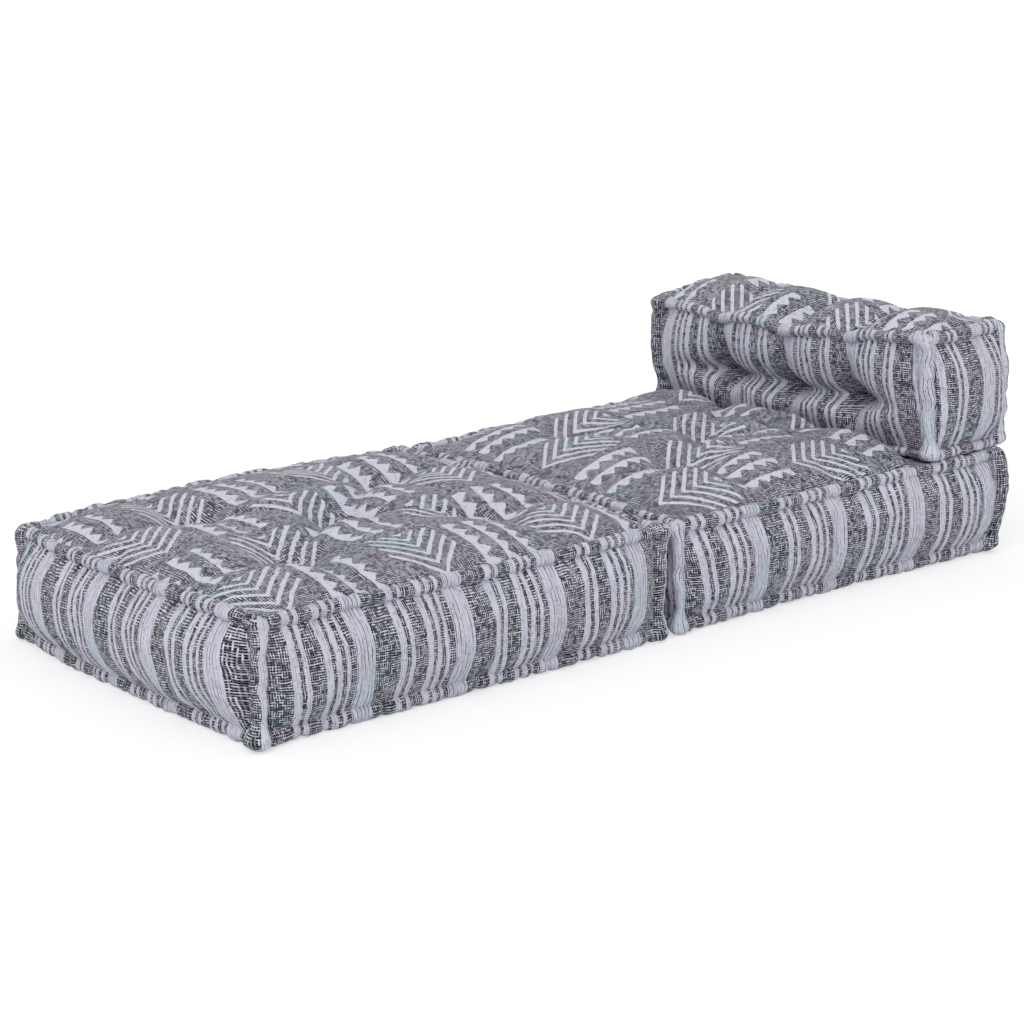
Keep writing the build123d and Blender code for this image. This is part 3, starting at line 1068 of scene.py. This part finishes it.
def weave(finish, place, u, v, pale, lines, dark=INK, calm=0.0, pitch=1.0):
    """Base colour and relief of the tweed: pale is 1 on a figure, lines 1 on a dark thread, and
    calm 1 where the threads blur into grey; pitch makes the threads finer or coarser."""
    stray = finish.noise(place, STRAY_SCALE, 1) * STRAY
    rows = (v + stray) / (WEFT * pitch)
    row = rows.down()
    columns = (u + stray * WARP_STRAY) / (WARP * pitch)
    column = columns.down()
    row_dice = finish.dice(row, ROW_DRAW)
    column_dice = finish.dice(column, COLUMN_DRAW)
    weft_run = (columns / THREAD_RUN + row_dice * RUN_SHIFT).down()
    warp_run = (rows / THREAD_RUN + column_dice * RUN_SHIFT).down()
    leaning = (finish.noise(place, LEANING_SCALE, 1) - 0.5) * LEANING
    weft = finish.dice(weft_run, row) * THREAD_SPREAD + WEFT_PALENESS + leaning
    warp = finish.dice(column, warp_run + WARP_DRAW) * THREAD_SPREAD + WARP_PALENESS - leaning
    weft = weft.over(FAINTEST).under(1)
    warp = warp.over(FAINTEST).under(1)
    weft = weft * weft * (rows.rest() < row_dice * WIDTH_SPREAD + WEFT_WIDTH)
    warp = warp * warp * (columns.rest() < column_dice * WIDTH_SPREAD + WARP_WIDTH)
    level = weft.over(warp) * (1 - calm) + calm * CALM_GREY
    drift = finish.patches(place, *DRIFT_PATCHES)
    ground = finish.mix(level, dark, finish.mix(drift, MAUVE_THREAD, TEAL_THREAD))
    fleck = finish.dice(column, row)
    worn = ((fleck > FLECK_START) * FLECK + fleck * SPECKLE + lines * LINE).under(1)
    bright = finish.mix(worn, finish.mix(drift, LILAC, ICE), SLATE)
    relief = abs((rows * 0.5).wave()) * WEFT_RELIEF + abs((columns * 0.5).wave()) * WARP_RELIEF
    height = relief * (1 - pale * 0.5) + pale * FIGURE_RELIEF - lines * LINE_RELIEF
    return finish.mix(pale, ground, bright), height


def striped_finish():
    finish = Finish("striped_cloth", CLOTH_ROUGHNESS, CLOTH_SHEEN)
    place, u, v = finish.cloth()
    wobble = finish.noise(place, STRIPE_WOBBLE_SCALE, 2) - 0.5
    ragged = finish.dice((v / WEFT * 2).down(), STRIPE_DRAW) - 0.5
    across = u + wobble * STRIPE_WOBBLE + ragged * STRIPE_STEP
    phase = (across / REPEAT) % 1
    band = finish.ramp(phase, stripe_stops())
    wide = phase > (1 - BANDS[-1] / sum(BANDS))
    streaks = finish.noise(finish.vector(u, v * STREAK_STRETCH), STREAK_SCALE, 1)
    lines = ((across / PINSTRIPE_PITCH).rest() < PINSTRIPE_SHARE) * (streaks > PINSTRIPE_START) * wide
    faint = ((across / FAINT_PITCH).rest() < FAINT_SHARE) * (streaks < FAINT_END) * FAINT
    colour, height = weave(finish, place, u, v, band, (lines + faint * band).under(1))
    cords = abs((across / PINSTRIPE_PITCH).wave()) * band * CORD_RELIEF
    return finish.wear(colour, height + cords, *STRIPED_RELIEF)


# The figured cloth: cells with toothed strips and nested chevrons in turn, how many of them lie
# before the middle, and how wavy, ragged and stepped the figures' outlines are
CELL_U = 0.131
CELL_V = 0.125
CELLS_BEFORE = (4, 4.5)
WAVY_U = 0.006
WAVY_V = 0.005
WAVY_SCALE = 22
RAGGED = 0.0018
RAGGED_SCALE = 210
STEPPED = 0.001
CALM = 0.30
FIGURED_PITCH = 0.98

# Nested chevrons: pitch, share that is pale, number, place, and where they stop
CHEVRON_PITCH = 0.0205
CHEVRON_SHARE = 0.37
CHEVRONS = 6
CHEVRON_SHIFT = 0.005
CHEVRON_HALF = 0.053
CHEVRON_END = 0.058

# Toothed strips: pitch, where they stop, back and teeth of the first, and how much less each next
STRIP_PITCH = 0.035
STRIP_HALF = 0.055
STRIPS = 3
STRIP_BACK = 0.0075
STRIP_BACK_LESS = 0.0018
TOOTH_PITCH = 0.0245
TOOTH_RISE = 0.015
TOOTH_RISE_LESS = 0.002


def figured_finish():
    finish = Finish("figured_cloth", CLOTH_ROUGHNESS, CLOTH_SHEEN)
    place, u, v = finish.cloth()
    wobble = finish.noise(place, WAVY_SCALE, 2) - 0.5
    ragged = finish.noise(place, RAGGED_SCALE, 1) - 0.5
    stepped = finish.dice((v / WEFT * 2).down(), FIGURE_DRAW) - 0.5
    across = u + wobble * WAVY_U + ragged * RAGGED + stepped * STEPPED + CELL_U * CELLS_BEFORE[0]
    along = v + wobble * WAVY_V + ragged * RAGGED + CELL_V * CELLS_BEFORE[1]
    column = (across / CELL_U).down()
    row = (along / CELL_V).down()
    p = across - (column + 0.5) * CELL_U
    q = along - (row + 0.5) * CELL_V
    kind = (column + row) % 2
    pale = chevrons(p, q) * kind + toothed_strips(p, q) * (1 - kind)
    calm = finish.patches(place, *CALM_PATCHES) * CALM
    colour, height = weave(finish, place, u, v, pale, 0.0, SHADOW, calm, FIGURED_PITCH)
    return finish.wear(colour, height, *FIGURED_RELIEF)


def chevrons(p, q):
    """Nested bent strips that point along the first axis."""
    nested = (p + abs(q) - CHEVRON_SHIFT) / CHEVRON_PITCH
    inside = (abs(q) < CHEVRON_HALF) * (p > -CHEVRON_END)
    inside = inside * (nested < CHEVRONS / 2) * (nested > -CHEVRONS / 2)
    return (nested.rest() < CHEVRON_SHARE) * inside


def toothed_strips(p, q):
    """Toothed strips one behind the other, the nearest the boldest."""
    strip = ((q + STRIP_HALF) / STRIP_PITCH).down()
    rise = q + STRIP_HALF - strip * STRIP_PITCH
    tooth = abs((p / TOOTH_PITCH).rest() - 0.5) * 2
    back = STRIP_BACK - strip * STRIP_BACK_LESS
    filled = rise < back + tooth * (TOOTH_RISE - strip * TOOTH_RISE_LESS)
    return filled * (abs(p) < STRIP_HALF) * (q > -STRIP_HALF) * (strip < STRIPS - 0.5)


def plain_finish(name, colours, scale):
    finish = Finish(name, FIBRE_ROUGHNESS, 0.0)
    where = finish.node("ShaderNodeTexCoord", output="Object")
    fibres = finish.noise(where, scale, 4)
    return finish.wear(finish.mix(fibres, *colours), fibres, *FIBRE_RELIEF)


def base_finish():
    finish = Finish("base_cloth", CLOTH_ROUGHNESS, BASE_SHEEN)
    place, u, v = finish.cloth()
    colour, height = weave(finish, place, u, v, 0.0, 0.0)
    return finish.wear(colour, height, *BASE_RELIEF)


# Ties: radius and sides of the shank and of the strand, steps of a winding, and the windings of
# a knot: how far out each lies, and its radius
SHANK = 0.0015
SHANK_SIDES = 12
STRAND = 0.0011
STRAND_SIDES = 8
WINDING_STEPS = 20
WINDINGS = ((0.0011, 0.0040), (0.0022, 0.0024))


def tie_ends(cushion, a, b):
    """The two places where the twine of a tuft comes out of the cover."""
    seam = cushion.seam_half
    if cushion.on_top:
        low = Vector((a, b, -cushion.half.z + BASE_LIFT * 2))
        high = Vector((a, b, seam.z + top_lift(cushion, a, b)))
    else:
        front, rear = SIDES[2], SIDES[3]
        near = stand_out(cushion, front, a, CREASE_HEIGHT, seam.x, seam.z)
        far = stand_out(cushion, rear, -a, CREASE_HEIGHT, seam.x, seam.z)
        low = Vector((a, -seam.y - near, CREASE_HEIGHT))
        high = Vector((a, seam.y + far, CREASE_HEIGHT))
    return [settle(cushion, cushion.middle + spot) for spot in (low, high)]


def make_ties(cushion, finish):
    """The tufting twine: a shank for each tuft, with a wound knot where an end shows."""
    bm = bmesh.new()
    for a, b in cushion.tufts:
        spots = tie_ends(cushion, a, b)
        axis = (spots[1] - spots[0]).normalized()
        turn = Z.rotation_difference(axis).to_matrix().to_4x4()
        middle = (spots[0] + spots[1]) / 2
        depth = (spots[1] - spots[0]).length
        bmesh.ops.create_cone(
            bm, cap_ends=True, segments=SHANK_SIDES, radius1=SHANK, radius2=SHANK, depth=depth,
            matrix=Matrix.Translation(middle) @ turn,
        )
        for spot, way in ((spots[0], -1), (spots[1], 1)):
            if cushion.on_top and way < 0:
                continue
            for lift, ring in WINDINGS:
                centre = spot + axis * (way * lift)
                start = bmesh.ops.create_circle(
                    bm, segments=STRAND_SIDES, radius=STRAND,
                    matrix=Matrix.Translation(centre) @ turn @ Matrix.Translation((ring, 0, 0))
                    @ Matrix.Rotation(pi / 2, 4, "X"),
                )
                edges = list({edge for vert in start["verts"] for edge in vert.link_edges})
                bmesh.ops.spin(
                    bm, geom=start["verts"] + edges, cent=centre, axis=axis, angle=2 * pi,
                    steps=WINDING_STEPS, use_merge=True,
                )
    bmesh.ops.recalc_face_normals(bm, faces=bm.faces)
    piece = mesh_piece(f"{cushion.name}_tuft_twine", bm, finish)
    hand_over(piece, cushion, "tuft_twine", f"{cushion.name}_tuft_ties")


# Stage
CAMERA_PLACE = Vector((2.807, -2.415, 1.098))
CAMERA_AZIMUTH = radians(49.781)
CAMERA_ELEVATION = radians(14.759)
CAMERA_LENS = 92.49
SENSOR_WIDTH = 36
FARTHEST_SEEN = 200
WHITE = (1, 1, 1, 1)
SKY_STRENGTH = 0.74
SUN_STRENGTH = 0.96
SUN_SPREAD = radians(50)
SUN_TURN = (radians(44), 0.0, radians(37))
FLOOR_HALF = 60
FLOOR_DROP = 0.0004
FLOOR_COLOUR = (0.92, 0.92, 0.93, 1)
FLOOR_GLOW = 1.24
FLOOR_GLOW_SHARE = 0.45


def make_camera(scene):
    """A camera at the photograph's viewing angle, and its plain tones."""
    camera = bpy.data.objects.new("camera", bpy.data.cameras.new("camera"))
    scene.collection.objects.link(camera)
    turn, tilt = CAMERA_AZIMUTH, CAMERA_ELEVATION
    back = Vector((sin(turn) * cos(tilt), -cos(turn) * cos(tilt), sin(tilt)))
    camera.location = CAMERA_PLACE
    camera.rotation_mode = "QUATERNION"
    camera.rotation_quaternion = (-back).to_track_quat("-Z", "Y")
    camera.data.lens = CAMERA_LENS
    camera.data.sensor_width = SENSOR_WIDTH
    camera.data.clip_end = FARTHEST_SEEN
    scene.camera = camera
    scene.view_settings.view_transform = "Standard"


def make_light(scene):
    """A soft white sky, plain white where it is seen, and one wide sun."""
    world = bpy.data.worlds.new("studio")
    world.use_nodes = True
    scene.world = world
    nodes = Nodes(world.node_tree)
    sky = world.node_tree.nodes["Background"]
    nodes.feed(sky.inputs["Color"], WHITE)
    nodes.feed(sky.inputs["Strength"], SKY_STRENGTH)
    light_path = nodes.node("ShaderNodeLightPath", output="Is Camera Ray")
    glossy = Value(nodes, light_path.socket.node.outputs["Is Glossy Ray"])
    plain = nodes.node("ShaderNodeBackground", None, {"Color": WHITE})
    nodes.blend(light_path.over(glossy), sky, plain, "World Output")
    lamp = bpy.data.lights.new("key", "SUN")
    lamp.energy = SUN_STRENGTH
    lamp.angle = SUN_SPREAD
    light = bpy.data.objects.new("key", lamp)
    light.rotation_euler = SUN_TURN
    scene.collection.objects.link(light)


def make_floor():
    """A plain pale floor that takes a soft shadow and looks white elsewhere."""
    bm = bmesh.new()
    bmesh.ops.create_grid(bm, x_segments=1, y_segments=1, size=FLOOR_HALF)
    bmesh.ops.translate(bm, verts=bm.verts, vec=(0, 0, -FLOOR_DROP))
    ground = new_object("floor", bm)
    bm.free()
    finish = Finish("studio_floor", 1.0, 0.0, 0.0)
    finish.feed(finish.shader.inputs["Base Color"], FLOOR_COLOUR)
    seen = finish.node("ShaderNodeLightPath", output="Is Camera Ray")
    glow = finish.node("ShaderNodeEmission", None, {"Strength": FLOOR_GLOW})
    finish.blend(seen * FLOOR_GLOW_SHARE, finish.shader, glow, "Material Output")
    ground.data.materials.append(finish.material)


make_camera(bpy.context.scene)
make_light(bpy.context.scene)
make_floor()
finishes = {
    "figured": figured_finish(),
    "striped": striped_finish(),
    "base": base_finish(),
    "filling": plain_finish("cotton_filling", COTTON, COTTON_SCALE),
    "twine": plain_finish("tuft_twine", TWINE, TWINE_SCALE),
}
for cushion in CUSHIONS:
    make_cover(cushion, finishes)
    make_rolls(cushion, finishes["striped"])
    make_ties(cushion, finishes["twine"])
